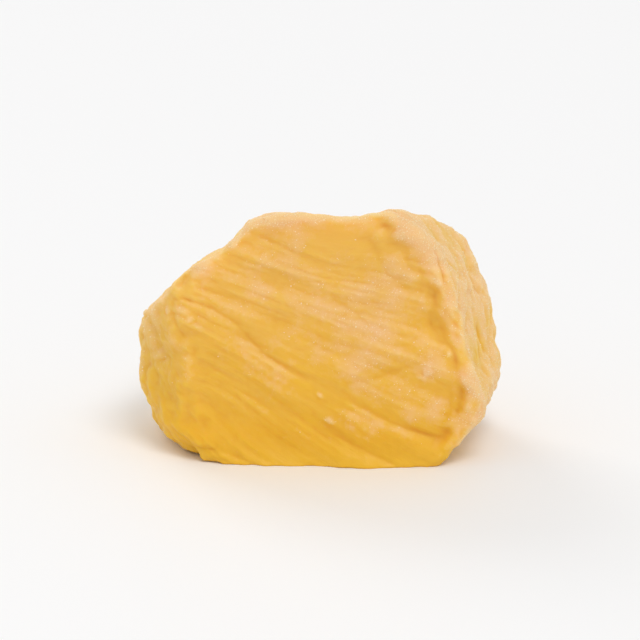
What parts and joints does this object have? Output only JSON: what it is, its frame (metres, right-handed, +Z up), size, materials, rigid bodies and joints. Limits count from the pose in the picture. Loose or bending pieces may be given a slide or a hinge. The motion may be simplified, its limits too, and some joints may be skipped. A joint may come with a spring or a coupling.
{
  "type": "dried pineapple chunk",
  "caption": "Chunk of dried, sugared pineapple with softly rounded cut faces and fibre relief, lying on a flat spot on its underside.",
  "frame": {"origin": "middle of the chunk's box, on the surface that it lies on", "axes": "+X along the chunk from its narrow core end to its thick outer end, +Y away from its broad front face, +Z up"},
  "size_m": [0.018, 0.0116, 0.0125],
  "materials": {
    "dried_pineapple": "translucent honey-yellow fruit flesh, half matt, lightly frosted with sugar on its rims"
  },
  "bodies": {
    "root": {"pineapple_chunk": "dried_pineapple"}
  },
  "joints": []
}
